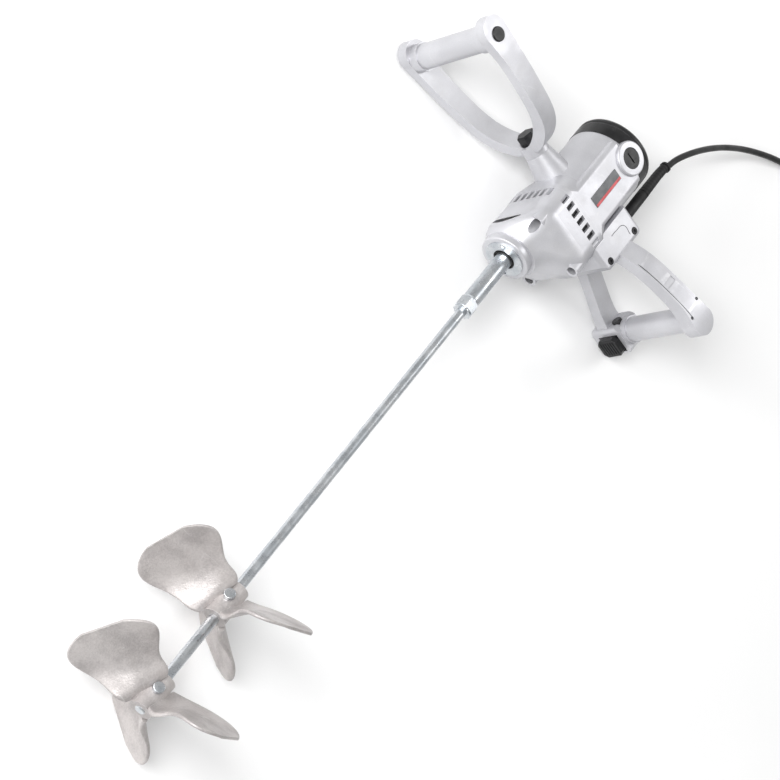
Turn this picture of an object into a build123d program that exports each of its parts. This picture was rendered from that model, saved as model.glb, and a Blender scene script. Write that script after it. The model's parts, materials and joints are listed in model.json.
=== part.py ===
from build123d import *
import os
from math import cos, degrees, hypot, pi, radians, sin, tan

os.makedirs("parts", exist_ok=True)

# Hand-held electric mixer for mortar: a motor head with two D-handles drives a long
# shaft that carries two three-bladed propellers.
#
# Everything is drawn in the tool's own frame, in millimetres: Z runs up the spindle
# from the nose, X points to the switch handle, -Y is the side with the name plate.
# At the end the whole tool is laid on its +Y side, as it rests on a floor.

# ------------------------------------------------------------ driving dimensions, mm

# mixing gear
SHAFT_D = 12.0            # mixing shaft
SLEEVE_D = 21.0           # visible lower part of the spindle
SLEEVE_END = -76.0        # lower end of the spindle sleeve
NUT_AF = 22.0             # lock nut across flats
NUT_H = 18.0
UPPER_HUB_Z = -573.5      # middle of the upper propeller hub
LOWER_HUB_Z = -708.5      # middle of the lower propeller hub
HUB_D = 27.0
HUB_H = 44.0
PROP_R = 99.5             # propeller tip radius
BLADE_W = 101.0           # widest chord of a blade
BLADE_T = 4.0             # blade thickness
BLADE_DROP = 2.5          # height of the hub's middle above the blades' middle
UPPER_BLADE_TURN = 178.7  # direction of the first blade, degrees from +X
LOWER_BLADE_TURN = 192.2
SET_SCREW_UP = 3.0        # height of the set screw above the hub's middle
SCREW_HEAD_R = 6.5

# motor head
MOTOR_X, MOTOR_Y = 20.0, -6.0   # armature axis, beside the spindle axis
NOSE_R = 31.0             # round nose boss
CASE_HALF = 48.5          # half width of the square gear housing
CASE_CORNER = 21.0
WALL = 4.5
JOINT_Z = 92.0            # joint between gear housing and motor housing
MOTOR_R = 49.5            # round motor housing
FLAT_HALF = 47.5          # half distance between the two flats with the brush bosses
PAD_HALF = 31.0           # half width of those flats
MOTOR_TOP = 204.0
CAP_TOP = 229.0
STATOR_R = 43.5           # bore of the motor housing
CAP_SCREW_R = MOTOR_R - 3.2
SCREW_REACH = CASE_HALF - 11.5   # housing screws from the motor axis
SCREW_POST_R = 8.8
STEM_X = -56.0            # outer face of the side handle's stem
STEM_Z = 131.0            # height of the stem and of the side handle's bolt
BRUSH_Z = 202.0
BRUSH_BOSS_R = 21.5
PLATE_L = 56.0
PLATE_W = 14.5

# handles
GRIP_R = 15.5
GRIP_L = 100.0
BAND_R = 12.7             # half height of a handle arm near the motor
END_R = 18.3              # half height of a handle arm at the grip
END_OUT = 5.5             # how far the round end of an arm lies beyond the grip's axis
GRIP_BOSS_R = 17.2        # round shoulder at each end of a grip
HANDLE_Z = 119.0          # height of both grips
SIDE_GRIP_X = -222.0
SWITCH_GRIP_X = 205.0
SWITCH_GRIP_Y0 = -70.0    # near end of the switch handle's grip
SIDE_HALF = 77.0          # half width of the side handle at the grip
PLUG_END_R = 9.0          # black plugs at the ends of the side grip

# running fits and clearances
RUN = 0.03                # radial clearance of a turning shaft
GAP = 0.3                 # gap between moving covers and buttons and what guides them

# cord
CORD_D = 8.0


# ------------------------------------------------------------ small shape helpers

def disc(radius, z0, z1, x=0.0, y=0.0):
    """Solid cylinder along Z."""
    return Pos(x, y, (z0 + z1) / 2) * Cylinder(radius, z1 - z0)


def ring(outer, inner, z0, z1, x=0.0, y=0.0):
    """Tube along Z."""
    return disc(outer, z0, z1, x, y) - disc(inner, z0 - 1, z1 + 1, x, y)


def rod_x(radius, x0, x1, y, z):
    """Solid cylinder along X."""
    return Pos((x0 + x1) / 2, y, z) * Rot(0, 90, 0) * Cylinder(radius, abs(x1 - x0))


def rod_y(radius, y0, y1, x, z):
    """Solid cylinder along Y."""
    return Pos(x, (y0 + y1) / 2, z) * Rot(90, 0, 0) * Cylinder(radius, abs(y1 - y0))


def block(x0, x1, y0, y1, z0, z1):
    """Box between two corners."""
    centre = Pos((x0 + x1) / 2, (y0 + y1) / 2, (z0 + z1) / 2)
    return centre * Box(x1 - x0, y1 - y0, z1 - z0)


def square_section(z, x, y, half, corner):
    """Rounded square outline at height z."""
    return Pos(x, y, z) * RectangleRounded(2 * half, 2 * half, corner)


def hexagon_bar(across_flats, length):
    """Hexagonal prism along Z, centred."""
    return extrude(RegularPolygon(across_flats / 2, 6, major_radius=False), length / 2, both=True)


def arm_outline(stations):
    """Outline of a handle arm in the XZ plane, through (x, z, half height) stations."""
    low = [(x, z - half) for x, z, half in stations]
    high = [(x, z + half) for x, z, half in reversed(stations)]
    outline = make_face(Polyline(*low, *high, close=True))
    for x, z, half in (stations[0], stations[-1]):
        outline += Pos(x, z) * Circle(half)
    return Plane.XZ * outline


def coil_spring(radius, wire, turns, length):
    """Round-wire compression spring along Z from z = 0."""
    path = Helix(pitch=length / turns, height=length, radius=radius)
    section = Plane(origin=path @ 0, z_dir=path % 0) * Circle(wire / 2)
    return sweep(section, path=path)


def gear_disc(teeth, tip_r, tooth_h, thickness):
    """Spur gear disc along Z from z = 0, with plain tapered teeth."""
    step = 2 * pi / teeth
    points = []
    for i in range(teeth):
        for part, radius in ((0.0, tip_r), (0.3, tip_r), (0.45, tip_r - tooth_h), (0.85, tip_r - tooth_h)):
            angle = (i + part) * step
            points.append((radius * cos(angle), radius * sin(angle)))
    return extrude(make_face(Polyline(*points, close=True)), thickness)


def shielded_bearing(outer, bore, z0, z1, x, y):
    """Ball bearing with a shield groove in both faces."""
    body = ring(outer, bore, z0, z1, x, y)
    middle = (outer + bore) / 2
    groove_out, groove_in = middle + (outer - bore) * 0.22, middle - (outer - bore) * 0.22
    for low, high in ((z0 - 1, z0 + 0.5), (z1 - 0.5, z1 + 1)):
        body -= ring(groove_out, groove_in, low, high, x, y)
    return body


# ------------------------------------------------------------ gear train layout

MODULE_1, PINION_1, WHEEL_1 = 0.75, 6, 52     # armature pinion and first wheel
MODULE_2, PINION_2, WHEEL_2 = 1.0, 9, 50      # countershaft pinion and spindle gear
MESH_GAP = 0.15
reach_1 = MODULE_1 * (PINION_1 + WHEEL_1) / 2
reach_2 = MODULE_2 * (PINION_2 + WHEEL_2) / 2
axis_gap = hypot(MOTOR_X, MOTOR_Y)
along = (reach_2**2 - reach_1**2 + axis_gap**2) / (2 * axis_gap)
aside = (reach_2**2 - along**2) ** 0.5
COUNTER_X = (along * MOTOR_X - aside * MOTOR_Y) / axis_gap
COUNTER_Y = (along * MOTOR_Y + aside * MOTOR_X) / axis_gap

PLATE_Z0, PLATE_Z1 = 54.0, 71.0               # gear plate
SPINDLE_GEAR_Z = (30.0, 39.0)
WHEEL_Z = (43.0, 49.0)
NOSE_BEARING = (21.0, 10.0, 8.0, 20.0)        # outer radius, bore radius, z0, z1
SPINDLE_TOP_BEARING = (11.0, 4.0, 54.0, 61.0)
COUNTER_LOW_BEARING = (9.5, 3.0, 22.0, 28.0)
COUNTER_TOP_BEARING = (9.5, 3.0, 54.0, 60.0)
ARMATURE_FRONT_BEARING = (13.0, 5.0, 63.0, 71.0)
ARMATURE_REAR_BEARING = (11.0, 4.0, 215.0, 222.0)
CAVITY_HALF = CASE_HALF - WALL


# ------------------------------------------------------------ motor head castings

def case_loft(shrink, z_low, low_half):
    """Gear housing body between the round nose and the square motor end."""
    mid_x, mid_y = MOTOR_X * 0.5, MOTOR_Y * 0.5
    mid_half = (low_half + CASE_HALF - shrink) / 2 + 2.5
    sections = [
        square_section(z_low, MOTOR_X * 0.08, MOTOR_Y * 0.08, low_half, low_half - 1.5),
        square_section((z_low + 52) / 2, mid_x, mid_y, mid_half, mid_half * 0.66),
        square_section(52, MOTOR_X, MOTOR_Y, CASE_HALF - shrink, CASE_CORNER - shrink / 2),
        square_section(60, MOTOR_X, MOTOR_Y, CASE_HALF - shrink, CASE_CORNER - shrink / 2),
    ]
    return loft(Sketch() + sections)


def vent_slots():
    """Row of air slots below the joint, on all four sides of the gear housing."""
    slots = []
    for i in range(7):
        offset = (i - 3) * 11.0
        for side in (-1, 1):
            slots.append(Pos(MOTOR_X + offset, MOTOR_Y + side * CASE_HALF, JOINT_Z - 8)
                         * Box(6.2, 2.4 * WALL, 14))
            slots.append(Pos(MOTOR_X + side * CASE_HALF, MOTOR_Y + offset, JOINT_Z - 8)
                         * Box(2.4 * WALL, 6.2, 14))
    return slots


def corner_points(reach):
    """Four corners of the housing, seen from the armature axis."""
    return [(MOTOR_X + sx * reach, MOTOR_Y + sy * reach) for sx in (-1, 1) for sy in (-1, 1)]


def gear_housing():
    """Cast aluminium gear housing with nose, bearing seats and air slots."""
    outside = case_loft(0.0, 12, NOSE_R + 2)
    body = outside + extrude(square_section(60, MOTOR_X, MOTOR_Y, CASE_HALF, CASE_CORNER), JOINT_Z - 60)
    body += disc(NOSE_R, 2, 14)
    body = fillet(body.edges().filter_by(GeomType.CIRCLE).sort_by(Axis.Z)[:1], 2.0)
    body -= case_loft(WALL, 28, NOSE_R + 4)
    body -= extrude(square_section(PLATE_Z0, MOTOR_X, MOTOR_Y, CAVITY_HALF, CASE_CORNER - WALL),
                    JOINT_Z - PLATE_Z0 + 1)
    body -= disc(24.5, 0, 6.5)
    body -= disc(NOSE_BEARING[0], 6, NOSE_BEARING[3])
    body -= disc(14, NOSE_BEARING[3] - 1, 30)
    body -= disc(COUNTER_LOW_BEARING[0], COUNTER_LOW_BEARING[2], 30, COUNTER_X, COUNTER_Y)
    for slot in vent_slots():
        body -= slot
    for x, y in corner_points(SCREW_REACH):
        body += disc(SCREW_POST_R, 38, JOINT_Z, x, y) & extrude(
            square_section(30, MOTOR_X, MOTOR_Y, CASE_HALF, CASE_CORNER), 70)
        body += disc(SCREW_POST_R, 14, 40, x, y) & outside
        body -= disc(5.6, 0, 50, x, y)
        body -= disc(2.7, 45, JOINT_Z + 1, x, y)
    return body


def motor_outline():
    """Outer body of the motor housing before it is bored."""
    body = disc(MOTOR_R, JOINT_Z, MOTOR_TOP, MOTOR_X, MOTOR_Y)
    flange = [square_section(JOINT_Z + 6, MOTOR_X, MOTOR_Y, CASE_HALF, CASE_CORNER),
              square_section(JOINT_Z + 34, MOTOR_X, MOTOR_Y, CASE_HALF - 1, CASE_HALF - 3)]
    body += loft(Sketch() + flange)
    pads = block(MOTOR_X - PAD_HALF, MOTOR_X + PAD_HALF, MOTOR_Y - FLAT_HALF, MOTOR_Y + FLAT_HALF,
                 JOINT_Z, MOTOR_TOP - 6)
    body += fillet(pads.edges().filter_by(Axis.Z), 7)
    reach = 2 * CASE_HALF
    body &= block(MOTOR_X - reach, MOTOR_X + reach, MOTOR_Y - FLAT_HALF, MOTOR_Y + FLAT_HALF,
                  JOINT_Z, MOTOR_TOP)
    body += extrude(square_section(JOINT_Z, MOTOR_X, MOTOR_Y, CASE_HALF, CASE_CORNER), 6)
    return body


def motor_housing():
    """Cast motor housing with brush bosses and the side handle's stem."""
    body = motor_outline()
    for side in (-1, 1):
        boss = rod_y(BRUSH_BOSS_R, MOTOR_Y + side * 36, MOTOR_Y + side * 51, MOTOR_X, BRUSH_Z)
        boss = fillet(boss.edges().filter_by(GeomType.CIRCLE).sort_by(Axis.Y)[-1 if side > 0 else 0], 2)
        body += boss
    stem_len = 32.0
    stem = Cone(23, 16, stem_len)
    body += Pos(STEM_X + stem_len / 2, MOTOR_Y, STEM_Z) * Rot(0, -90, 0) * stem
    body -= disc(STATOR_R, JOINT_Z - 1, MOTOR_TOP + 30, MOTOR_X, MOTOR_Y)
    body -= rod_y(8.1, MOTOR_Y - 60, MOTOR_Y + 60, MOTOR_X, BRUSH_Z)
    for side in (-1, 1):
        body -= rod_y(13.4, MOTOR_Y + side * 47, MOTOR_Y + side * 60, MOTOR_X, BRUSH_Z)
        body -= disc(1.6, MOTOR_TOP - 14, MOTOR_TOP + 1, MOTOR_X + side * CAP_SCREW_R, MOTOR_Y)
    for x, y in corner_points(SCREW_REACH):
        body -= disc(2.2, JOINT_Z - 1, JOINT_Z + 12, x, y)
    body -= rod_x(6.0, STEM_X - 1, STEM_X + 16, MOTOR_Y, STEM_Z)
    return body


def rear_cap():
    """Black domed cover over the end of the motor."""
    shell = disc(MOTOR_R + 0.5, MOTOR_TOP, CAP_TOP, MOTOR_X, MOTOR_Y)
    shell = fillet(shell.edges().sort_by(Axis.Z)[-1], 9)
    hollow = disc(MOTOR_R - 3, MOTOR_TOP - 1, CAP_TOP - 3, MOTOR_X, MOTOR_Y)
    shell -= fillet(hollow.edges().sort_by(Axis.Z)[-1], 6.5)
    for side in (-1, 1):
        shell -= rod_y(BRUSH_BOSS_R + GAP, MOTOR_Y + side * 34, MOTOR_Y + side * 60, MOTOR_X, BRUSH_Z)
        post_x = MOTOR_X + side * CAP_SCREW_R
        post = disc(4.2, MOTOR_TOP, CAP_TOP - 12, post_x, MOTOR_Y)
        shell += post & disc(MOTOR_R, MOTOR_TOP, CAP_TOP, MOTOR_X, MOTOR_Y)
        shell -= disc(1.8, MOTOR_TOP - 1, CAP_TOP, post_x, MOTOR_Y)
        shell -= disc(3.3, MOTOR_TOP + 12, CAP_TOP, post_x, MOTOR_Y)
    for i in range(5):
        shell -= Pos(MOTOR_X, MOTOR_Y + (i - 2) * 9.0, CAP_TOP) * Box(34, 3.4, 12)
    return shell


def gear_plate():
    """Bearing plate between the gears and the motor."""
    plate = extrude(square_section(PLATE_Z0, MOTOR_X, MOTOR_Y, CAVITY_HALF - 0.1, CASE_CORNER - WALL),
                    PLATE_Z1 - PLATE_Z0)
    for outer, bore, z0, z1, x, y in (
            (*SPINDLE_TOP_BEARING, 0, 0),
            (*COUNTER_TOP_BEARING, COUNTER_X, COUNTER_Y)):
        plate -= disc(outer, z0 - 1, z1, x, y)
    plate -= disc(ARMATURE_FRONT_BEARING[0], ARMATURE_FRONT_BEARING[2], PLATE_Z1 + 1, MOTOR_X, MOTOR_Y)
    plate -= disc(6, PLATE_Z0 - 1, PLATE_Z1, MOTOR_X, MOTOR_Y)
    for x, y in corner_points(SCREW_REACH):
        plate -= disc(SCREW_POST_R + 0.3, PLATE_Z0 - 1, PLATE_Z1 + 1, x, y)
    return plate


def rear_bracket():
    """Bridge that holds the armature's rear bearing."""
    rim = ring(STATOR_R - 0.05, 36, 192, MOTOR_TOP - 1, MOTOR_X, MOTOR_Y)
    rim -= rod_y(8.6, MOTOR_Y - 60, MOTOR_Y + 60, MOTOR_X, BRUSH_Z)
    bar = block(MOTOR_X - 41, MOTOR_X + 41, MOTOR_Y - 9, MOTOR_Y + 9, 213, 224)
    bar += disc(15, 213, 225, MOTOR_X, MOTOR_Y)
    for side in (-1, 1):
        x0, x1 = sorted((MOTOR_X + side * 37, MOTOR_X + side * 41))
        bar += block(x0, x1, MOTOR_Y - 9, MOTOR_Y + 9, 200, 224)
    body = rim + bar
    body -= disc(ARMATURE_REAR_BEARING[0], 212, ARMATURE_REAR_BEARING[3], MOTOR_X, MOTOR_Y)
    return body - disc(5.5, 220, 230, MOTOR_X, MOTOR_Y)


# ------------------------------------------------------------ motor internals

CORE_Z = (120.0, 168.0)


def stator_core():
    """Laminated yoke with two poles."""
    yoke = ring(STATOR_R - 0.05, 38.5, *CORE_Z, MOTOR_X, MOTOR_Y)
    for side in (-1, 1):
        x0, x1 = sorted((MOTOR_X + side * 24, MOTOR_X + side * 39.5))
        pole = block(x0, x1, MOTOR_Y - 15, MOTOR_Y + 15, *CORE_Z)
        yoke += pole
    return yoke - disc(25.6, CORE_Z[0] - 1, CORE_Z[1] + 1, MOTOR_X, MOTOR_Y)


def field_coils():
    """Copper coils round the two poles."""
    coils = []
    for side in (-1, 1):
        x0, x1 = sorted((MOTOR_X + side * 28, MOTOR_X + side * 33))
        coil = block(x0, x1, MOTOR_Y - 19, MOTOR_Y + 19, CORE_Z[0] - 7, CORE_Z[1] + 7)
        coil -= block(x0 - 1, x1 + 1, MOTOR_Y - 15.2, MOTOR_Y + 15.2, CORE_Z[0] - 0.2, CORE_Z[1] + 0.2)
        coils.append(coil)
    return Compound(children=coils)


def armature_shaft():
    """Steel motor shaft, stepped for its bearings, with the pinion at its front end."""
    shaft = disc(4, 50, 63, MOTOR_X, MOTOR_Y) + disc(5 - RUN, 62, 213, MOTOR_X, MOTOR_Y)
    shaft += disc(4 - RUN, 212, 224, MOTOR_X, MOTOR_Y)
    pinion_tip = MODULE_1 * PINION_1 / 2
    pinion = Pos(MOTOR_X, MOTOR_Y, 41) * gear_disc(PINION_1, pinion_tip, 0.5, 10)
    return shaft + pinion


def armature_core():
    """Slotted lamination stack."""
    core = ring(25, 5, *CORE_Z, MOTOR_X, MOTOR_Y)
    for i in range(12):
        slot = Pos(MOTOR_X, MOTOR_Y, sum(CORE_Z) / 2) * Rot(0, 0, i * 30) * Pos(24, 0, 0)
        core -= slot * Box(6, 2.2, CORE_Z[1] - CORE_Z[0] + 2)
    return core


def armature_windings():
    """Winding heads at both ends of the stack."""
    heads = []
    for z0, z1 in ((CORE_Z[0] - 12, CORE_Z[0]), (CORE_Z[1], CORE_Z[1] + 14)):
        head = ring(22, 5.2, z0, z1, MOTOR_X, MOTOR_Y)
        outer = head.edges().filter_by(GeomType.CIRCLE).sort_by(SortBy.RADIUS)[-2:]
        heads.append(fillet(outer, 4))
    return Compound(children=heads)


def commutator():
    """Commutator with its bar slots."""
    body = ring(14, 5, 193, 211, MOTOR_X, MOTOR_Y)
    for i in range(24):
        slot = Pos(MOTOR_X, MOTOR_Y, 202) * Rot(0, 0, i * 15) * Pos(14, 0, 0)
        body -= slot * Box(1.2, 0.6, 20)
    return body


def cooling_fan():
    """Radial fan behind the gear plate."""
    fan = ring(39, 5, 74, 76, MOTOR_X, MOTOR_Y) + ring(9, 5, 73, 88, MOTOR_X, MOTOR_Y)
    for i in range(12):
        blade = Pos(MOTOR_X, MOTOR_Y, 81) * Rot(0, 0, i * 30) * Pos(25, 4, 0) * Rot(0, 0, 12)
        fan += blade * Box(26, 1.6, 11)
    return fan


def carbon_brushes():
    """Two carbon brushes that bear on the commutator."""
    brushes = []
    for side in (-1, 1):
        y0, y1 = sorted((MOTOR_Y + side * 10, MOTOR_Y + side * 28))
        brush = block(MOTOR_X - 3, MOTOR_X + 3, y0, y1, BRUSH_Z - 4.5, BRUSH_Z + 4.5)
        brushes.append(brush - disc(14.1, 190, 214, MOTOR_X, MOTOR_Y))
    return Compound(children=brushes)


def brush_tubes():
    """Brass-lined holders of the brushes."""
    tubes = []
    for side in (-1, 1):
        tube = rod_y(8, MOTOR_Y + side * 17, MOTOR_Y + side * 46.5, MOTOR_X, BRUSH_Z)
        y0, y1 = sorted((MOTOR_Y + side * 10, MOTOR_Y + side * 50))
        tubes.append(tube - block(MOTOR_X - 3.1, MOTOR_X + 3.1, y0, y1, BRUSH_Z - 4.6, BRUSH_Z + 4.6))
    return Compound(children=tubes)


def brush_springs():
    """Springs that press the brushes inwards."""
    springs = []
    for side in (-1, 1):
        spring = coil_spring(2.3, 0.6, 7, 16)
        place = Pos(MOTOR_X, MOTOR_Y + side * 28.6, BRUSH_Z) * Rot(-90 if side > 0 else 90, 0, 0)
        springs.append(place * spring)
    return Compound(children=springs)


def brush_caps():
    """Slotted black screw caps over the brush holders."""
    caps = []
    for side in (-1, 1):
        cap = rod_y(13.1, MOTOR_Y + side * 47, MOTOR_Y + side * 50.2, MOTOR_X, BRUSH_Z)
        slot = Pos(MOTOR_X, MOTOR_Y + side * 50.2, BRUSH_Z) * Box(15, 2.4, 2.4)
        caps.append(cap - slot)
    return Compound(children=caps)


# ------------------------------------------------------------ gears and spindle

def spindle():
    """Output spindle with the threaded socket for the mixing shaft."""
    body = disc(SLEEVE_D / 2, SLEEVE_END, 7.5) + disc(10 - RUN, 7, 29.5)
    body += disc(9, 29, 40) + disc(7, 39, 53.5) + disc(4 - RUN, 53, 61)
    body = chamfer(body.edges().filter_by(GeomType.CIRCLE).sort_by(Axis.Z)[0], 1.0)
    return body - disc(SHAFT_D / 2 + 0.02, SLEEVE_END - 1, SLEEVE_END + 36)


def spindle_gear():
    """Large gear on the spindle."""
    tip = MODULE_2 * WHEEL_2 / 2 - MESH_GAP
    z0, z1 = SPINDLE_GEAR_Z
    return Pos(0, 0, z0) * gear_disc(WHEEL_2, tip, 1.6, z1 - z0) - disc(9.02, z0 - 1, z1 + 1)


def countershaft():
    """Intermediate shaft with its pinion cut on it."""
    low, top = COUNTER_LOW_BEARING, COUNTER_TOP_BEARING
    shaft = disc(low[1] - RUN, low[2], low[3] + 1) + disc(top[1] - RUN, top[2] - 1, top[3])
    shaft += disc(3.2, low[3] + 0.3, top[2] - 0.3)
    pinion = Pos(0, 0, 29) * gear_disc(PINION_2, MODULE_2 * PINION_2 / 2 - MESH_GAP, 1.1, 11.5)
    return Pos(COUNTER_X, COUNTER_Y, 0) * (shaft + pinion)


def first_wheel():
    """Large gear on the countershaft, driven by the armature pinion."""
    tip = MODULE_1 * WHEEL_1 / 2 - MESH_GAP
    z0, z1 = WHEEL_Z
    wheel = Pos(0, 0, z0) * gear_disc(WHEEL_1, tip, 1.2, z1 - z0) - disc(3.22, z0 - 1, z1 + 1)
    return Pos(COUNTER_X, COUNTER_Y, 0) * wheel


def oil_seal():
    """Black lip seal round the spindle."""
    seal = ring(13.7, SLEEVE_D / 2 + 0.06, 0.6, 7)
    return seal - ring(13.0, 11.6, 0, 2.2)


def bearing_retainer():
    """Steel ring that holds the nose bearing and the seal."""
    body = ring(24.45, 13.75, 0, 6.5)
    body = fillet(body.edges().filter_by(GeomType.CIRCLE).sort_by(Axis.Z)[:2], 0.6)
    for angle in (35, 215):
        body -= Rot(0, 0, angle) * Pos(21, 0, 0) * Box(5, 3, 3)
    return body


# ------------------------------------------------------------ mixing shaft and propellers

def lock_nut():
    """Hexagon nut that locks the shaft in the spindle."""
    top = SLEEVE_END - 0.2
    nut = Pos(0, 0, top - NUT_H / 2) * hexagon_bar(NUT_AF, NUT_H - 4)
    nut += disc(NUT_AF / 2 - 0.6, top - NUT_H, top)
    return nut - disc(SHAFT_D / 2 + 0.02, top - NUT_H - 1, top + 1)


def mixing_shaft():
    """Long round shaft between the spindle and the lower propeller."""
    shaft = disc(SHAFT_D / 2, LOWER_HUB_Z - HUB_H / 2 - 1.5, SLEEVE_END + 34)
    return chamfer(shaft.edges(), 1.0)


# Blade sections from hub to tip: share of the tip radius, share of the widest chord, pitch in
# degrees, share of the thickness, and how far the section lies along its chord and along Z.
BLADE_SECTIONS = [
    (0.12, 0.51, 58.5, 1.6, 0.5, 0.0),
    (0.33, 0.65, 49.1, 1.3, -5.3, 4.2),
    (0.56, 0.875, 38.4, 1.1, -11.8, 9.0),
    (0.79, 1.0, 36.1, 1.0, -9.0, 5.9),
    (0.93, 0.78, 34.7, 0.9, -7.3, 4.0),
    (1.0, 0.50, 34.1, 0.8, -6.5, 3.1)]


def propeller_blade(hub_z, turn):
    """One twisted blade, drawn as a loft of chord sections along its radius."""
    sections = []
    out = Vector(cos(radians(turn)), sin(radians(turn)), 0)
    side = Vector(-sin(radians(turn)), cos(radians(turn)), 0)
    for share, width, pitch, thick, skew, rake in BLADE_SECTIONS:
        chord = side * cos(radians(pitch)) + Vector(0, 0, sin(radians(pitch)))
        middle = out * (PROP_R * share) + chord * skew + Vector(0, 0, hub_z + rake)
        section = SlotOverall(BLADE_W * width, BLADE_T * thick)
        sections.append(Plane(origin=middle, x_dir=chord, z_dir=out) * section)
    return loft(Sketch() + sections)


def propeller(hub_z, turn):
    """Cast three-bladed propeller with a hub bored for the shaft."""
    body = disc(HUB_D / 2, hub_z - HUB_H / 2, hub_z + HUB_H / 2)
    for i in range(3):
        body += propeller_blade(hub_z - BLADE_DROP, turn + i * 120)
    body -= disc(SHAFT_D / 2 + 0.02, hub_z - HUB_H, hub_z + HUB_H)
    return body - screw_bore(hub_z, turn)


def screw_place(hub_z, turn):
    """Location of a set screw, its axis pointing out of the hub along Z."""
    angle = turn + 55.0
    out = Vector(cos(radians(angle)), sin(radians(angle)), 0)
    return Plane(origin=Vector(0, 0, hub_z + SET_SCREW_UP), z_dir=out).location


def screw_bore(hub_z, turn):
    """Tapped hole of the set screw and the flat round its head."""
    bore = disc(4.1, SHAFT_D / 2 - 0.5, HUB_D) + disc(SCREW_HEAD_R + 0.4, HUB_D / 2 + 0.2, HUB_D / 2 + 9)
    return screw_place(hub_z, turn) * bore


def propeller_screws():
    """Set screws that fix both propellers."""
    screws = []
    for hub_z, turn in ((UPPER_HUB_Z, UPPER_BLADE_TURN), (LOWER_HUB_Z, LOWER_BLADE_TURN)):
        screw = disc(4, SHAFT_D / 2 + 0.1, HUB_D / 2 + 2) + disc(SCREW_HEAD_R, HUB_D / 2 + 0.3, HUB_D / 2 + 5.5)
        screw = fillet(screw.edges().filter_by(GeomType.CIRCLE).sort_by(Axis.Z)[-1], 1.0)
        screws.append(screw_place(hub_z, turn) * screw)
    return Compound(children=screws)


# ------------------------------------------------------------ side handle

def mirrored_band(outer, inner, centre_y):
    """Face between two half outlines, mirrored about the line y = centre_y."""
    loops = []
    for half in (outer, inner):
        points = [(x, centre_y + y) for x, y in half]
        mirror = [(x, centre_y - y) for x, y in half[1:]]
        loops.append(Spline(*(points[::-1][:-1] + [points[0]] + mirror)))
    lid_1 = Line(loops[0] @ 0, loops[1] @ 0)
    lid_2 = Line(loops[0] @ 1, loops[1] @ 1)
    return make_face([loops[0], loops[1], lid_1, lid_2])


def side_handle():
    """Cast D-shaped bracket of the side handle."""
    seat = STEM_X - 3.0
    outer = [(seat, 0), (seat - 7, 23), (seat - 32, 51), (seat - 77, 66),
             (-200, SIDE_HALF - 2), (SIDE_GRIP_X - END_OUT - END_R - 1, SIDE_HALF)]
    inner = [(seat - 13, 0), (seat - 20, 17), (seat - 42, 39), (seat - 82, 53),
             (-200, SIDE_HALF - 15), (SIDE_GRIP_X - END_OUT - END_R - 1, SIDE_HALF - 16)]
    body = Pos(0, 0, HANDLE_Z - 30) * extrude(mirrored_band(outer, inner, MOTOR_Y), 60)
    outline = arm_outline([(seat - 8, STEM_Z, BAND_R), (-130, STEM_Z - 5.2, BAND_R + 0.8),
                           (-190, STEM_Z - 9.6, BAND_R + 2.3), (SIDE_GRIP_X - END_OUT, HANDLE_Z, END_R)])
    body &= Pos(0, 150, 0) * extrude(outline, 300)
    body += rod_x(16, seat - 13, seat, MOTOR_Y, STEM_Z)
    for side in (-1, 1):
        body += rod_y(GRIP_BOSS_R, MOTOR_Y + side * GRIP_L / 2, MOTOR_Y + side * (SIDE_HALF - 3),
                      SIDE_GRIP_X, HANDLE_Z)
        body -= rod_y(PLUG_END_R + 0.2, MOTOR_Y + side * (SIDE_HALF - 11), MOTOR_Y + side * (SIDE_HALF + 9),
                      SIDE_GRIP_X, HANDLE_Z)
    body -= rod_y(4.2, MOTOR_Y - 90, MOTOR_Y + 90, SIDE_GRIP_X, HANDLE_Z)
    body -= rod_x(12.5, seat - 40, seat - 13, MOTOR_Y, STEM_Z)
    return body - rod_x(6.2, seat - 20, seat + 5, MOTOR_Y, STEM_Z)


def grip_tube(x, y_mid, length):
    """Metal tube of a grip."""
    tube = rod_y(GRIP_R, y_mid - length / 2, y_mid + length / 2, x, HANDLE_Z)
    return tube - rod_y(GRIP_R - 3, y_mid - length, y_mid + length, x, HANDLE_Z)


def grip_rod(x, y_mid, half):
    """Tie rod with round nuts that clamps a grip between the arms."""
    rod = rod_y(4, y_mid - half, y_mid + half, x, HANDLE_Z)
    for side in (-1, 1):
        rod += rod_y(8, y_mid + side * (half - 5), y_mid + side * half, x, HANDLE_Z)
    return rod


def side_grip_plugs():
    """Black plugs over the ends of the side grip's tie rod."""
    plugs = []
    for side in (-1, 1):
        plug = rod_y(PLUG_END_R, MOTOR_Y + side * (SIDE_HALF - 4.5), MOTOR_Y + side * (SIDE_HALF + 1.2),
                     SIDE_GRIP_X, HANDLE_Z)
        plugs.append(fillet(plug.edges().filter_by(GeomType.CIRCLE).sort_by(Axis.Y)[-1 if side > 0 else 0], 1))
    return Compound(children=plugs)


def handle_bolt():
    """Black hexagon bolt that fixes the side handle to the stem."""
    seat = STEM_X - 3.0 - 13.0
    head = Pos(seat - 6.5, MOTOR_Y, STEM_Z) * Rot(0, 90, 0) * Rot(0, 0, 30) * hexagon_bar(20, 13)
    head = fillet(head.edges().group_by(Axis.X)[0], 1.5)
    head += rod_x(11.2, seat - 2.2, seat, MOTOR_Y, STEM_Z)
    return head + rod_x(5.9, seat - 1, STEM_X + 15, MOTOR_Y, STEM_Z)


# ------------------------------------------------------------ switch handle

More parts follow.
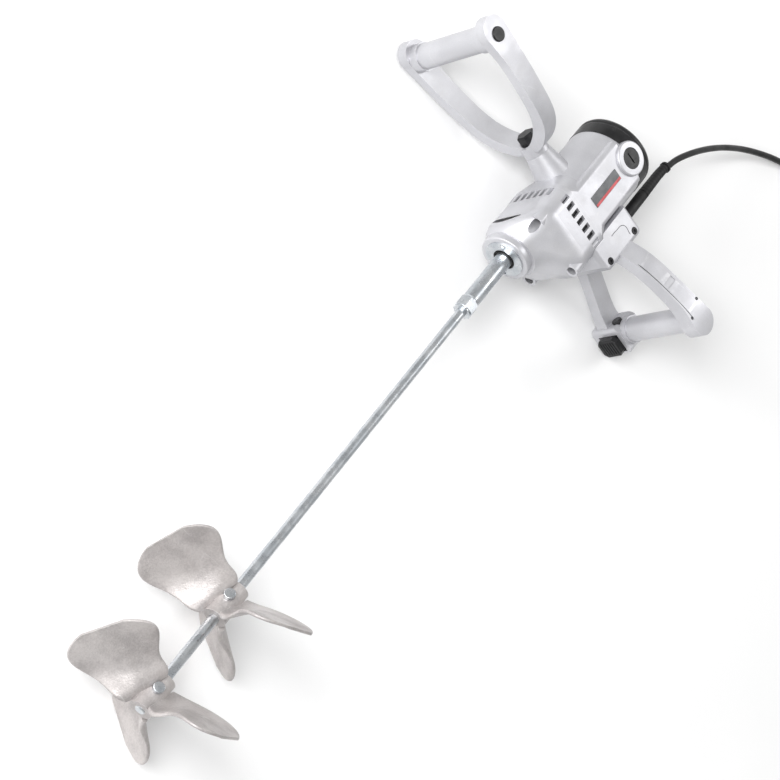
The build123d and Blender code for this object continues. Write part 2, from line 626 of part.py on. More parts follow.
BASE = (MOTOR_X + PAD_HALF + 4.4, 95.0, MOTOR_Y - 45.0, MOTOR_Y + 43.0, 74.0, 158.0)
POD = (188.0, 227.0, 26.0, 70.0, 100.0, 138.0)
GUARD_X, GUARD_Y = 85.0, -10.0
TRIGGER = (197.0, 222.0, 33.0, 64.0)
TRIGGER_TRAVEL = 5.0
LOCK_Y, LOCK_Z, LOCK_R = 36.0, 116.0, 6.5
LOCK_TRAVEL = 2.5

ARM_END_X = SWITCH_GRIP_X + END_OUT + END_R + 1
ARM_OUT_NEAR = [(BASE[1] - 6, BASE[2] + 1), (112, -67), (145, -80), (190, -91), (ARM_END_X, -90)]
ARM_IN_NEAR = [(BASE[1] - 6, -28), (114, -47), (146, -61), (190, -70), (ARM_END_X, -71)]
ARM_OUT_FAR = [(BASE[1] - 6, 28), (112, 37), (142, 48), (168, 58), (POD[0] + 4, 63)]
ARM_IN_FAR = [(BASE[1] - 6, 10), (114, 22), (144, 33), (170, 42), (POD[0] + 4, 46)]


def plain_band(outer, inner):
    """Face between two outlines that start and end side by side."""
    first, second = Spline(*outer), Spline(*inner)
    return make_face([first, second, Line(first @ 0, second @ 0), Line(first @ 1, second @ 1)])


def near_arm_skin(depth_0, depth_1):
    """Band between two depths below the near arm's outer face."""
    faces = [[(x - depth / 3, y + depth) for x, y in ARM_OUT_NEAR[1:-1]] for depth in (depth_0, depth_1)]
    return Pos(0, 0, HANDLE_Z - COVER_W / 2) * extrude(plain_band(*faces), COVER_W)


COVER_W = 17.0            # width of the channel cover in the near arm
HANDLE_SCREWS = [(85.5, 146.0), (85.5, 89.0)]   # along X and Z, on the near side of the saddle


def handle_screws():
    """Black screws that fix the switch handle."""
    screw = Rot(90, 0, 0) * cap_screw(4.3, 3.6, 2.4, 20)
    return Compound(children=[Pos(x, BASE[2] + 3, z) * screw for x, z in HANDLE_SCREWS])


def switch_handle():
    """Cast switch handle: saddle on the motor, two arms and the switch pod."""
    x0, x1, y0, y1, z0, z1 = BASE
    base = block(x0, x1, y0, y1, z0, z1)
    base = fillet(base.edges().group_by(Axis.X)[-1] + base.edges().filter_by(Axis.X), 7)
    base -= Pos(x1, (y0 + y1) / 2, z0) * Rot(0, 45, 0) * Box(17, 2 * (y1 - y0), 17)
    base -= disc(MOTOR_R + 0.4, JOINT_Z + 8, z1 + 1, MOTOR_X, MOTOR_Y)
    base -= motor_flange_space()
    for x, z in HANDLE_SCREWS:
        base -= rod_y(4.8, y0 - 1, y0 + 3, x, z) + rod_y(2.42, y0, y0 + 24, x, z)
    arms = extrude(plain_band(ARM_OUT_NEAR, ARM_IN_NEAR), 60)
    far = extrude(plain_band(ARM_OUT_FAR, ARM_IN_FAR), 60)
    outline = arm_outline([(x1 - 2, HANDLE_Z, BAND_R + 0.6), (SWITCH_GRIP_X - 24, HANDLE_Z, BAND_R + 0.6),
                           (SWITCH_GRIP_X + END_OUT, HANDLE_Z, END_R - 0.3)])
    cut = Pos(0, 150, 0) * extrude(outline, 300)
    body = base + (Pos(0, 0, HANDLE_Z - 30) * arms & cut) + (Pos(0, 0, HANDLE_Z - 30) * far & cut)
    pod = block(*POD)
    pod = chamfer(pod.edges().filter_by(Axis.Z).group_by(Axis.Y)[0], 7)
    pod = fillet(pod.edges().filter_by(Axis.Y), 5)
    body += pod + rod_y(GRIP_BOSS_R, POD[2] - 5, POD[2] + 3, SWITCH_GRIP_X, HANDLE_Z)
    body += rod_y(GRIP_BOSS_R, SWITCH_GRIP_Y0, -84, SWITCH_GRIP_X, HANDLE_Z)
    body -= rod_y(GRIP_R + 0.02, SWITCH_GRIP_Y0, POD[2], SWITCH_GRIP_X, HANDLE_Z)
    body -= rod_y(4.2, SWITCH_GRIP_Y0 - 12, POD[2] + 8, SWITCH_GRIP_X, HANDLE_Z)
    body -= block(TRIGGER[0] - GAP, TRIGGER[1] + GAP, TRIGGER[2] - GAP, TRIGGER[3] + GAP, POD[4] - 1, 113)
    body -= block(POD[0] + 4, POD[1] - 4, TRIGGER[2] + 3, POD[3] + 1, 114.5, POD[5] - 3.5)
    body -= block(TRIGGER[0] + 2, TRIGGER[1] - 2, TRIGGER[2] + 4, TRIGGER[3] - 2, 110, 120)
    body -= rod_x(LOCK_R + GAP, POD[0] - 3, POD[0] + 6, LOCK_Y, LOCK_Z)
    body -= disc(9.2, z1 - 8, z1 + 1, GUARD_X, GUARD_Y)
    body -= disc(CORD_D / 2 + 0.3, z1 - 24, z1, GUARD_X, GUARD_Y)
    return body - near_arm_skin(0, 3)


SWITCH_GRIP_MID = (POD[2] + SWITCH_GRIP_Y0) / 2
SWITCH_GRIP_L = POD[2] - SWITCH_GRIP_Y0


def motor_flange_space():
    """Space that the housings take out of the handle's saddle."""
    square = extrude(square_section(0, MOTOR_X, MOTOR_Y, CASE_HALF + 0.15, CASE_CORNER), JOINT_Z + 8)
    square += disc(MOTOR_R + 0.4, JOINT_Z - 1, JOINT_Z + 10, MOTOR_X, MOTOR_Y)
    neck = [square_section(JOINT_Z + 6, MOTOR_X, MOTOR_Y, CASE_HALF + 0.15, CASE_CORNER),
            square_section(JOINT_Z + 34, MOTOR_X, MOTOR_Y, CASE_HALF - 0.85, CASE_HALF - 3)]
    return square + loft(Sketch() + neck)


def pod_cover():
    """End plate of the switch pod."""
    x0, x1, _, y1, z0, z1 = POD
    plate = block(x0 + 0.5, x1 - 0.5, y1, y1 + 3, z0 + 0.5, z1 - 0.5)
    plate = fillet(plate.edges().filter_by(Axis.Y), 6)
    for dz in (-14, 14):
        plate -= rod_y(1.8, y1 - 1, y1 + 4, POD[0] + 7 if dz > 0 else POD[1] - 7, HANDLE_Z + dz)
    return plate


def switch_unit():
    """Electric switch inside the pod."""
    return block(POD[0] + 6, POD[1] - 6, TRIGGER[2] + 4, TRIGGER[3] - 1, 116, POD[5] - 4)


def trigger():
    """Black push-button of the switch."""
    x0, x1, y0, y1 = TRIGGER
    body = block(x0, x1, y0, y1, 91, 105)
    body = chamfer(body.edges().filter_by(Axis.Z), 5)
    body = fillet(body.faces().sort_by(Axis.Z)[0].edges(), 1.5)
    body += block(x0 + 4, x1 - 4, y0 + 8, y1 - 8, 104, 106.5)
    return body - disc(5, 98, 107, (x0 + x1) / 2, (y0 + y1) / 2)


def trigger_spring():
    """Return spring of the trigger, drawn at its pressed length."""
    x0, x1, y0, y1 = TRIGGER
    return Pos((x0 + x1) / 2, (y0 + y1) / 2, 104.2) * coil_spring(3.6, 0.8, 5, 11.2)


def lock_button():
    """Round black lock-on button on the inner side of the pod."""
    button = rod_x(LOCK_R, POD[0] - 2.8, POD[0] + 3, LOCK_Y, LOCK_Z)
    return fillet(button.edges().filter_by(GeomType.CIRCLE).sort_by(Axis.X)[0], 1.2)


# ------------------------------------------------------------ cord guard

GUARD_LOW = 225.0         # top of the rigid sleeve, where the flexible guard starts
GUARD_RIBS = 12
GUARD_PITCH = 4.9
RIB_LAP = 0.8             # overlap of neighbouring ribs


def cord_boot():
    """Rigid black sleeve where the cord enters the handle."""
    top = BASE[5]
    boot = disc(9, top - 8, top + 4) + disc(7.0, top, GUARD_LOW)
    boot = Pos(GUARD_X, GUARD_Y, 0) * boot
    return boot - disc(CORD_D / 2, top - 9, GUARD_LOW + 1, GUARD_X, GUARD_Y)


def cord_lead():
    """Straight stretch of the cord inside the sleeve and the handle."""
    return disc(CORD_D / 2, BASE[5] - 24, GUARD_LOW, GUARD_X, GUARD_Y)


# ------------------------------------------------------------ fasteners and plate

def cap_screw(head_r, head_h, shank_r, length):
    """Cylinder-head screw along Z with its head on top of z = 0."""
    screw = disc(head_r, 0, head_h) + disc(shank_r, -length, 0)
    return screw - Pos(0, 0, head_h) * extrude(RegularPolygon(head_r * 0.5, 6), 1.5, both=True)


def housing_screws():
    """Four long screws that join gear housing and motor housing."""
    screw = Rot(180, 0, 0) * cap_screw(4.6, 4.5, 2.2, JOINT_Z + 10 - 50)
    return Compound(children=[Pos(x, y, 50) * screw for x, y in corner_points(SCREW_REACH)])


def cover_screws():
    """Two screws that hold the rear cap."""
    screw = cap_screw(2.9, 2.5, 1.55, 22)
    return Compound(children=[Pos(MOTOR_X + side * CAP_SCREW_R, MOTOR_Y, MOTOR_TOP + 12) * screw
                              for side in (-1, 1)])


def name_plate():
    """Bare rectangular plate on the motor housing."""
    y = MOTOR_Y - FLAT_HALF
    return block(MOTOR_X - PLATE_W / 2, MOTOR_X + PLATE_W / 2, y - 0.8, y, 145 - PLATE_L / 2, 145 + PLATE_L / 2)


# ------------------------------------------------------------ assembly

def build_tool():
    """All pieces of the tool in its own frame, by node name."""
    spacer = rod_x(15.5, STEM_X - 3, STEM_X, MOTOR_Y, STEM_Z)
    spacer -= rod_x(6.2, STEM_X - 9, STEM_X + 9, MOTOR_Y, STEM_Z)
    return {
        "gear_housing": gear_housing(),
        "motor_housing": motor_housing(),
        "rear_cap": rear_cap(),
        "gear_plate": gear_plate(),
        "rear_bracket": rear_bracket(),
        "stator_core": stator_core(),
        "field_coils": field_coils(),
        "armature_shaft": armature_shaft(),
        "armature_core": armature_core(),
        "armature_windings": armature_windings(),
        "commutator": commutator(),
        "cooling_fan": cooling_fan(),
        "armature_front_bearing": shielded_bearing(*ARMATURE_FRONT_BEARING, MOTOR_X, MOTOR_Y),
        "armature_rear_bearing": shielded_bearing(*ARMATURE_REAR_BEARING, MOTOR_X, MOTOR_Y),
        "carbon_brushes": carbon_brushes(),
        "brush_tubes": brush_tubes(),
        "brush_springs": brush_springs(),
        "brush_caps": brush_caps(),
        "countershaft": countershaft(),
        "first_wheel": first_wheel(),
        "countershaft_bearings": Compound(children=[
            shielded_bearing(*bearing, COUNTER_X, COUNTER_Y)
            for bearing in (COUNTER_LOW_BEARING, COUNTER_TOP_BEARING)]),
        "spindle": spindle(),
        "spindle_gear": spindle_gear(),
        "nose_bearing": shielded_bearing(*NOSE_BEARING, 0, 0),
        "spindle_top_bearing": shielded_bearing(*SPINDLE_TOP_BEARING, 0, 0),
        "oil_seal": oil_seal(),
        "bearing_retainer": bearing_retainer(),
        "lock_nut": lock_nut(),
        "mixing_shaft": mixing_shaft(),
        "upper_propeller": propeller(UPPER_HUB_Z, UPPER_BLADE_TURN),
        "lower_propeller": propeller(LOWER_HUB_Z, LOWER_BLADE_TURN),
        "propeller_screws": propeller_screws(),
        "handle_spacer": spacer,
        "side_handle": side_handle(),
        "side_grip": grip_tube(SIDE_GRIP_X, MOTOR_Y, GRIP_L),
        "side_grip_rod": grip_rod(SIDE_GRIP_X, MOTOR_Y, SIDE_HALF - 6),
        "side_grip_plugs": side_grip_plugs(),
        "handle_bolt": handle_bolt(),
        "switch_handle": switch_handle(),
        "handle_cover": near_arm_skin(1, 3),
        "handle_screws": handle_screws(),
        "switch_grip": grip_tube(SWITCH_GRIP_X, SWITCH_GRIP_MID, SWITCH_GRIP_L),
        "pod_cover": pod_cover(),
        "switch_unit": switch_unit(),
        "trigger": trigger(),
        "trigger_spring": trigger_spring(),
        "lock_button": lock_button(),
        "cord_boot": cord_boot(),
        "cord_lead": cord_lead(),
        "housing_screws": housing_screws(),
        "cover_screws": cover_screws(),
        "name_plate": name_plate(),
    }


# ------------------------------------------------------------ lying on the floor

def tilted(angle):
    """Location that lays the tool on its +Y side, with the nose end raised by an angle."""
    up_spindle = (cos(angle), 0, -sin(angle))
    return Location(Plane(origin=(0, 0, 0), x_dir=(0, -1, 0), z_dir=up_spindle))


def lowest(shapes, angle):
    """Lowest height of some pieces once the tool is tilted."""
    return min((tilted(angle) * shape).bounding_box().min.Z for shape in shapes)


def resting_angle(tool):
    """Tilt at which a propeller blade and the handles touch the floor together."""
    handles = [tool[name] for name in ("side_handle", "side_grip_plugs", "pod_cover", "switch_handle")]
    blades = [tool["upper_propeller"], tool["lower_propeller"]]
    reach = HANDLE_Z - LOWER_HUB_Z
    angle = 0.0
    for _ in range(4):
        angle += (lowest(handles, angle) - lowest(blades, angle)) / reach
    return angle


# Free cord: it runs straight through the guard, and from there on its points are chosen by
# hand, in millimetres from the guard's low end along X and Y, and as heights above the floor.
# The last point is where the coil starts.
GUARD_RUN = 60.0
CORD_ROUTE = [
    (120, -25, 66), (182, -62, 42), (242, -110, 18),
    (292, -168, CORD_D / 2), (320, -232, CORD_D / 2), (328, -292, CORD_D / 2)]
COIL_TURNS = (40.0, 48.0, 56.0)   # radii of the turns in each layer
COIL_LAYERS = 2
# Tail from the coil's top turn to the plug: out from the coil's centre, ahead, and height.
TAIL_ROUTE = [(56, 0, 12), (62, 46, 14), (42, 88, 16), (-4, 95.5, 17)]
PLUG_R = 17.0


def corner_radii(points):
    """Arc radius at each inner point of a route, from its two runs and its turn."""
    radii = []
    for before, here, after in zip(points, points[1:], points[2:]):
        run_in, run_out = here - before, after - here
        turn = radians(run_in.get_angle(run_out))
        radii.append(0.45 * min(run_in.length, run_out.length) / tan(turn / 2))
    return radii


def cord_path(points):
    """Straight runs joined by tangent arcs."""
    radii = corner_radii(points)
    print("cord radii", [round(r) for r in radii])
    return FilletPolyline(*points, radius=radii)


def cord_tube(path):
    """Round cord along a path."""
    return sweep(Plane(origin=path @ 0, z_dir=path % 0) * Circle(CORD_D / 2), path=path)


def cord_guard(path):
    """Flexible ribbed strain relief that follows the first stretch of the cord."""
    body = None
    for i in range(GUARD_RIBS):
        place = path.location_at((i + 0.5) * GUARD_PITCH + RIB_LAP / 2, PositionMode.LENGTH)
        core_r = 6.4 - 0.9 * i / GUARD_RIBS
        rib_r = 7.0 if i in (0, GUARD_RIBS - 1) else core_r + 0.4
        rib = place * (Cylinder(core_r, GUARD_PITCH + RIB_LAP) + Cylinder(rib_r, GUARD_PITCH * 0.62))
        body = rib if body is None else body + rib
    return body


def coil_frame(path):
    """Centre of the coil, and the direction from it to the point where the cord arrives."""
    arrive, heading = path @ 1, path % 1
    inward = Vector(heading.Y, -heading.X, 0).normalized()
    return arrive + inward * COIL_TURNS[-1] - Vector(0, 0, CORD_D / 2), -inward


def cord_coil(centre):
    """Closed outer shape of the coiled length."""
    half = CORD_D / 2
    outer, inner = COIL_TURNS[-1] + half, COIL_TURNS[0] - half
    body = Cylinder(outer, COIL_LAYERS * CORD_D) - Cylinder(inner, COIL_LAYERS * CORD_D + 2)
    rims = body.edges().filter_by(GeomType.CIRCLE)
    return Pos(centre.X, centre.Y, COIL_LAYERS * half) * fillet(rims, half - 0.2)


def plug_body(end, heading):
    """Moulded plug, with its taper towards the cord at the origin of its own axis."""
    body = Pos(0, 0, 13) * Cone(6.0, 9.0, 26) + Pos(0, 0, 29) * Cone(9.0, PLUG_R - 1, 8)
    body += disc(PLUG_R - 1, 32, 38) + disc(PLUG_R, 37.5, 54)
    return Plane(origin=end, z_dir=heading).location * body


def plug_pins(end, heading, across):
    """Two round contact pins."""
    place = Plane(origin=end, x_dir=across, z_dir=heading).location
    return Compound(children=[place * (disc(2.4, 54, 71, side * 9.5) + Pos(side * 9.5, 0, 71) * Sphere(2.4))
                              for side in (-1, 1)])


def build_cord(guard_low, guard_run):
    """Cord, guard, coil and plug by node name, from the low end of the guard onwards."""
    route = [guard_low, guard_run]
    route += [Vector(guard_low.X + x, guard_low.Y + y, z) for x, y, z in CORD_ROUTE]
    path = cord_path(route)
    tube = cord_tube(path)
    centre, out = coil_frame(path)
    ahead = Vector(out.Y, -out.X, 0)
    tail_points = [centre + out * x + ahead * y + Vector(0, 0, z) for x, y, z in TAIL_ROUTE]
    tail_path = cord_path(tail_points)
    tail = cord_tube(tail_path)
    coil = cord_coil(centre) - tube - tail
    end, heading = tail_path @ 1, tail_path % 1
    across = heading.cross(Vector(0, 0, 1)).normalized()
    length = path.length + tail_path.length + COIL_LAYERS * 2 * pi * sum(COIL_TURNS)
    print("cord length", round(length), "tube", round(path.length, 1), "volume share",
          round(tube.volume / (pi * CORD_D**2 / 4 * path.length), 4),
          "tail", round(tail_path.length, 1), round(tail.volume / (pi * CORD_D**2 / 4 * tail_path.length), 4))
    print("route", [tuple(round(v, 2) for v in p) for p in route])
    print("coil centre", centre, "out", out, "tail", tail_points)
    print("plug end", end, "heading", heading, "across", across)
    return {
        "cord_guard": cord_guard(path) - tube,
        "power_cord": tube,
        "cord_coil": coil,
        "cord_tail": tail,
        "plug": plug_body(end, heading),
        "plug_pins": plug_pins(end, heading, across),
    }


tool = build_tool()
TILT = resting_angle(tool)
laid = {name: tilted(TILT) * shape for name, shape in tool.items()}
boxes = [shape.bounding_box() for shape in laid.values()]
low = Vector(min(b.min.X for b in boxes), min(b.min.Y for b in boxes), min(b.min.Z for b in boxes))
high = Vector(max(b.max.X for b in boxes), max(b.max.Y for b in boxes), max(b.max.Z for b in boxes))
SHIFT = Pos(-(low.X + high.X) / 2, -(low.Y + high.Y) / 2, -low.Z)
PLACE = SHIFT * tilted(TILT)
print("size", high - low, "tilt", round(degrees(TILT), 4), "place", PLACE)

nodes = {name: SHIFT * shape for name, shape in laid.items()}
guard_points = [(PLACE * Pos(GUARD_X, GUARD_Y, z)).position for z in (GUARD_LOW, GUARD_LOW + GUARD_RUN)]
nodes |= build_cord(*guard_points)
for label, place in (("spindle", Pos(0, 0, 0)), ("countershaft", Pos(COUNTER_X, COUNTER_Y, 0)),
                     ("armature", Pos(MOTOR_X, MOTOR_Y, 0))):
    print(label, "axis through", (PLACE * place).position)
for name, shape in nodes.items():
    export_step(shape, f"parts/{name}.step")
    corners = (*shape.bounding_box().min, *shape.bounding_box().max)
    print(name, [round(v, 1) for v in corners], round(shape.volume, 1))
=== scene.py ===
import bmesh
import bpy
import json
from itertools import product
from math import cos, pi, radians, sin
from mathutils import Matrix, Vector
from mathutils.bvhtree import BVHTree


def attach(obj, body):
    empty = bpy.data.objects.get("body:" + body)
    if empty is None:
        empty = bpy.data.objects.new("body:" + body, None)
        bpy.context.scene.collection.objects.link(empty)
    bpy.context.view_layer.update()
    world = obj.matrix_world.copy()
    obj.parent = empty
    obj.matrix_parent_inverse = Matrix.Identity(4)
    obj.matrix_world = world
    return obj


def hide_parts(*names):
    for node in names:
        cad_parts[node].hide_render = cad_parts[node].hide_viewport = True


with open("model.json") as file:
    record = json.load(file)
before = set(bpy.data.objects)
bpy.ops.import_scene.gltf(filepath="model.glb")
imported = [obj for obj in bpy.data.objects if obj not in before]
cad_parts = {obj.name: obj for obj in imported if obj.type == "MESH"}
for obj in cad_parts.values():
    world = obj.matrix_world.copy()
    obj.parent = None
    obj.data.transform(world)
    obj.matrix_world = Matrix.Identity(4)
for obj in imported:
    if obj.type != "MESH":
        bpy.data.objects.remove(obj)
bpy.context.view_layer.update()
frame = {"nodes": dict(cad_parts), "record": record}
scene = bpy.context.scene


# ------------------------------------------------------------ camera

RIGHT = Vector((0.5520742, -0.5618211, 0.6160934))
UP = Vector((0.6599627, 0.7459992, 0.0890755))
AHEAD = Vector((0.5097, -0.3574059, -0.7826027))
EYE = Vector((-1.616796, 1.144864, 2.59294))


def make_camera():
    data = bpy.data.cameras.new("camera")
    data.lens, data.sensor_width = 132.4, 36.0
    data.clip_end = 50
    camera = bpy.data.objects.new("camera", data)
    turn = Matrix((RIGHT, UP, -AHEAD)).transposed()
    camera.matrix_world = Matrix.Translation(EYE) @ turn.to_4x4()
    scene.collection.objects.link(camera)
    scene.camera = camera


make_camera()


# ------------------------------------------------------------ cord

CORD_D = 0.008
GUARD_LOW = Vector((0.48135, -0.09365, 0.08018))
GUARD_RUN = Vector((0.54132, -0.09365, 0.07827))
ROUTE = [(0.120, -0.025, 0.066), (0.182, -0.062, 0.042), (0.242, -0.110, 0.018),
         (0.292, -0.168, 0.004), (0.320, -0.232, 0.004), (0.328, -0.292, 0.004)]
COIL_CENTRE = Vector((0.753842, -0.393051, 0.0))
COIL_OUT = Vector((0.991228, 0.132164, 0.0))
COIL_TURNS = (0.056, 0.048, 0.040, 0.040, 0.048, 0.056)
COIL_LEVELS = (0.004, 0.004, 0.004, 0.012, 0.012, 0.012)
TAIL = [(0.062, 0.046, 0.014), (0.042, 0.088, 0.016), (-0.004, 0.0955, 0.017)]
STEPS = 16


def link(obj):
    scene.collection.objects.link(obj)
    return obj


def cord_points():
    """Free run, turns of the coil and the tail to the plug, as one line."""
    points = [GUARD_LOW, GUARD_RUN]
    points += [Vector((GUARD_LOW.x + x, GUARD_LOW.y + y, z)) for x, y, z in ROUTE]
    ahead = Vector((COIL_OUT.y, -COIL_OUT.x, 0))
    total = STEPS * len(COIL_TURNS)
    for i in range(1, total + 1):
        turn = min(i // STEPS, len(COIL_TURNS) - 1)
        after = min(turn + 1, len(COIL_TURNS) - 1)
        share = max(0.0, (i % STEPS) / STEPS - 0.55) / 0.45
        radius = COIL_TURNS[turn] * (1 - share) + COIL_TURNS[after] * share
        level = COIL_LEVELS[turn] * (1 - share) + COIL_LEVELS[after] * share
        angle = -2 * pi * i / STEPS
        out = Matrix.Rotation(angle, 3, "Z") @ COIL_OUT
        points.append(COIL_CENTRE + out * radius + Vector((0, 0, level)))
    points += [COIL_CENTRE + COIL_OUT * x + ahead * y + Vector((0, 0, z)) for x, y, z in TAIL]
    return points


def make_cord():
    curve = bpy.data.curves.new("cord", "CURVE")
    curve.dimensions = "3D"
    curve.bevel_depth = 1.0             # the points carry the real radius
    curve.bevel_resolution = 4
    curve.resolution_u = 8
    curve.use_fill_caps = True
    spline = curve.splines.new("NURBS")
    points = cord_points()
    spline.points.add(len(points) - 1)
    for point, place in zip(spline.points, points):
        point.co, point.radius = (*place, 1), CORD_D / 2
    spline.order_u = 3
    spline.use_endpoint_u = True
    cord = link(bpy.data.objects.new("mains_cord", curve))
    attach(cord, "machine")
    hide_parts("power_cord", "cord_coil", "cord_tail")
    return cord


cord = make_cord()


# ------------------------------------------------------------ surface effects

MIX_FIRST, MIX_SECOND, MIX_RESULT = 6, 7, 2      # colour sockets of a Mix node


class Net:
    """Adds nodes to one tree and joins them, so that a finish reads in short lines."""

    def __init__(self, tree):
        self.tree = tree

    def add(self, kind, inputs=None, **settings):
        node = self.tree.nodes.new("ShaderNode" + kind)
        for key, value in settings.items():
            setattr(node, key, value)
        for key, value in (inputs or {}).items():
            self.feed(node.inputs[key], value)
        return node

    def feed(self, socket, value):
        if isinstance(value, bpy.types.NodeSocket):
            self.tree.links.new(value, socket)
        else:
            socket.default_value = value

    def math(self, operation, first, second=0.0, clamp=False):
        node = self.add("Math", {0: first, 1: second}, operation=operation)
        node.use_clamp = clamp
        return node.outputs[0]

    def spread(self, value, low, high, to_low, to_high):
        ends = {"Value": value, "From Min": low, "From Max": high, "To Min": to_low, "To Max": to_high}
        return self.add("MapRange", ends, interpolation_type="SMOOTHSTEP").outputs["Result"]

    def blend(self, share, first, second):
        """Colour between two colours; a Mix node keeps its colour sockets after its other kinds."""
        node = self.add("Mix", data_type="RGBA")
        for socket, value in (("Factor", share), (MIX_FIRST, first), (MIX_SECOND, second)):
            self.feed(node.inputs[socket], value)
        return node.outputs[MIX_RESULT]

    def noise(self, place, size, detail=3.0, dimensions="3D"):
        key = "W" if dimensions == "1D" else "Vector"
        node = self.add("TexNoise", {key: place, "Detail": detail}, noise_dimensions=dimensions)
        if isinstance(size, bpy.types.NodeSocket):
            size = self.math("DIVIDE", 1.0, size)
        self.feed(node.inputs["Scale"], size)
        return node.outputs["Fac"]


def start_group(name, inputs, output):
    """Empty effect with a place vector, number inputs and one output."""
    tree = bpy.data.node_groups.new(name, "ShaderNodeTree")
    tree.interface.new_socket("Place", in_out="INPUT", socket_type="NodeSocketVector")
    for title, value in inputs:
        socket = tree.interface.new_socket(title, in_out="INPUT", socket_type="NodeSocketFloat")
        socket.default_value = value
    tree.interface.new_socket(output, in_out="OUTPUT", socket_type="NodeSocketFloat")
    net = Net(tree)
    given = tree.nodes.new("NodeGroupInput").outputs
    result = tree.nodes.new("NodeGroupOutput").inputs[0]
    return net, given, result


def edge_wear_effect():
    """Mask along edges, broken up by noise."""
    inputs = [("Width", 0.0008), ("Size", 0.006), ("Amount", 0.5)]
    net, given, result = start_group("edge wear", inputs, "Mask")
    rounded = net.add("Bevel", {"Radius": given["Width"]}, samples=4).outputs["Normal"]
    flat = net.add("NewGeometry").outputs["Normal"]
    match = net.add("VectorMath", {0: rounded, 1: flat}, operation="DOT_PRODUCT").outputs["Value"]
    edge = net.spread(net.math("SUBTRACT", 1.0, match), 0.02, 0.16, 0.0, 1.0)
    broken = net.spread(net.noise(given["Place"], given["Size"]), 0.38, 0.62, 0.15, 1.0)
    worn = net.math("MULTIPLY", edge, broken)
    net.feed(result, net.math("MULTIPLY", worn, given["Amount"], clamp=True))
    return net.tree


def mottle_effect():
    """Slow change between two values over the surface."""
    inputs = [("Size", 0.02), ("Low", 0.0), ("High", 1.0)]
    net, given, result = start_group("mottle", inputs, "Value")
    clouds = net.noise(given["Place"], given["Size"], detail=4.0)
    net.feed(result, net.spread(clouds, 0.32, 0.68, given["Low"], given["High"]))
    return net.tree


def grain_effect():
    """Fine height pattern: pebbles of one size with finer noise over them."""
    net, given, result = start_group("grain", [("Size", 0.001), ("Cells", 0.5)], "Height")
    scale = net.math("DIVIDE", 1.0, given["Size"])
    cells = net.add("TexVoronoi", {"Vector": given["Place"], "Scale": scale}).outputs["Distance"]
    fine = net.noise(given["Place"], given["Size"], detail=5.0)
    cells = net.math("MULTIPLY", cells, given["Cells"])
    net.feed(result, net.math("ADD", cells, fine))
    return net.tree


def scratch_effect():
    """Sparse thin scratches."""
    net, given, result = start_group("scratches", [("Size", 0.03), ("Amount", 0.5)], "Mask")
    stretched = net.add("Mapping", {"Vector": given["Place"], "Rotation": (0.5, 0.7, 0.9),
                                    "Scale": (1.0, 0.35, 1.6)}).outputs["Vector"]
    level = net.math("SUBTRACT", net.noise(stretched, given["Size"], detail=1.0), 0.5)
    line = net.spread(net.math("ABSOLUTE", level), 0.0, 0.007, 1.0, 0.0)
    patch_size = net.math("MULTIPLY", given["Size"], 0.6)
    patch = net.spread(net.noise(given["Place"], patch_size), 0.50, 0.64, 0.0, 1.0)
    net.feed(result, net.math("MULTIPLY", net.math("MULTIPLY", line, patch), given["Amount"]))
    return net.tree


def dust_effect():
    """Dust settled on faces that look up."""
    net, given, result = start_group("settled dust", [("Size", 0.02), ("Amount", 0.2)], "Mask")
    normal = net.add("NewGeometry").outputs["Normal"]
    upward = net.spread(net.add("SeparateXYZ", {0: normal}).outputs["Z"], 0.2, 1.0, 0.1, 1.0)
    clouds = net.spread(net.noise(given["Place"], given["Size"], detail=6.0), 0.42, 0.68, 0.0, 1.0)
    net.feed(result, net.math("MULTIPLY", net.math("MULTIPLY", upward, clouds), given["Amount"]))
    return net.tree


def turning_effect():
    """Fine rings left by a lathe on pieces that lie along X."""
    net, given, result = start_group("turned rings", [("Pitch", 0.0006)], "Height")
    along = net.add("SeparateXYZ", {0: given["Place"]}).outputs["X"]
    net.feed(result, net.noise(along, given["Pitch"], detail=4.0, dimensions="1D"))
    return net.tree


EDGE_WEAR, MOTTLE, GRAIN = edge_wear_effect(), mottle_effect(), grain_effect()
SCRATCHES, DUST, TURNING = scratch_effect(), dust_effect(), turning_effect()


